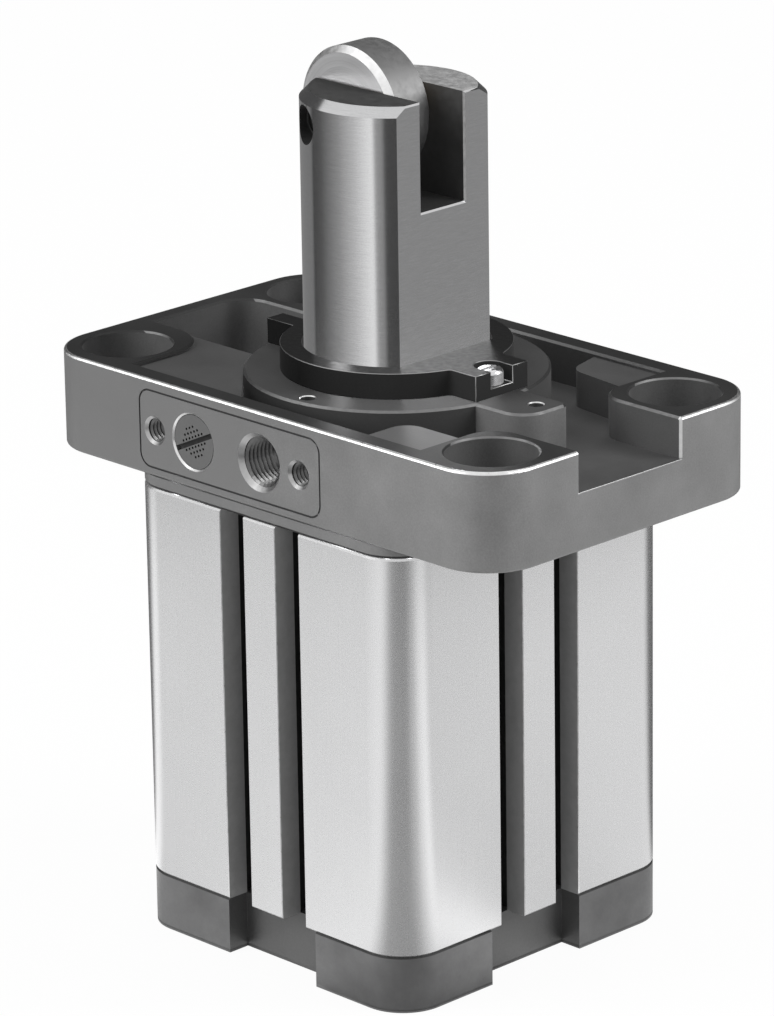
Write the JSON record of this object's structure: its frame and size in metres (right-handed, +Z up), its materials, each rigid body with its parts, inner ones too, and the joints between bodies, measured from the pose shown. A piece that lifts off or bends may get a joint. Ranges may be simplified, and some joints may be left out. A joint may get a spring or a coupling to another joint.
{
  "type": "stopper cylinder",
  "caption": "Square pneumatic stopper cylinder with a long bolt flange, a sprung round plunger that carries a stop roller in a fork, and sensor slots along the barrel.",
  "frame": {"origin": "centre of the end cap's underside", "axes": "+Z up along the plunger, X along the flange's long side with the guide ring's screw on +X, -Y is the side with the ports"},
  "size_m": [0.11, 0.067, 0.158],
  "materials": {
    "cap_aluminium": "satin grey anodised, faint cutter marks",
    "barrel_aluminium": "light clear-anodised extrusion with fine drawing lines",
    "head_casting": "darker die casting, fine grain, milled top",
    "ring_steel": "blackened steel, dull",
    "screw_steel": "bright zinc-plated steel",
    "sintered_metal": "matt sintered disc",
    "bearing_bronze": "turned bearing bronze",
    "seal_rubber": "black nitrile rubber",
    "bumper_rubber": "dark urethane",
    "spring_steel": "drawn spring wire",
    "ground_steel": "ground and hard-chromed steel",
    "piston_aluminium": "turned aluminium",
    "bonded_magnet": "plastic-bonded magnet",
    "guide_plastic": "filled low-friction plastic",
    "roller_steel": "turned hardened steel with circular lay"
  },
  "bodies": {
    "housing": {"end_cap": "cap_aluminium", "barrel": "barrel_aluminium", "flange_head": "head_casting", "guide_ring": "ring_steel", "guide_ring_screw": "screw_steel", "vent_plug": "sintered_metal", "rod_bush": "bearing_bronze", "rod_seal": "seal_rubber", "head_oring": "seal_rubber", "cap_oring": "seal_rubber", "upper_bumper": "bumper_rubber", "lower_bumper": "bumper_rubber", "tie_screws": "screw_steel", "spring_seat": "screw_steel", "return_spring": "spring_steel"},
    "plunger": {"plunger_rod": "ground_steel", "piston": "piston_aluminium", "piston_seal": "seal_rubber", "piston_magnet": "bonded_magnet", "guide_band": "guide_plastic", "piston_oring": "seal_rubber", "piston_nut": "screw_steel", "roller_pin": "ground_steel", "roller_washers": "guide_plastic"},
    "roller": {"roller": "roller_steel", "roller_bush": "bearing_bronze"}
  },
  "joints": [
    {"name": "plunger_slide", "type": "slide", "parent": "housing", "child": "plunger", "axis": [0, 0, 1], "range_m": [-0.03, 0], "stiffness_N_per_m": 1500, "springref_m": 0.03, "deforming": ["return_spring"]},
    {"name": "roller_spin", "type": "hinge", "parent": "plunger", "child": "roller", "pos_m": [-0.0068, 0, 0.1463], "axis": [0, 1, 0], "continuous": true}
  ]
}
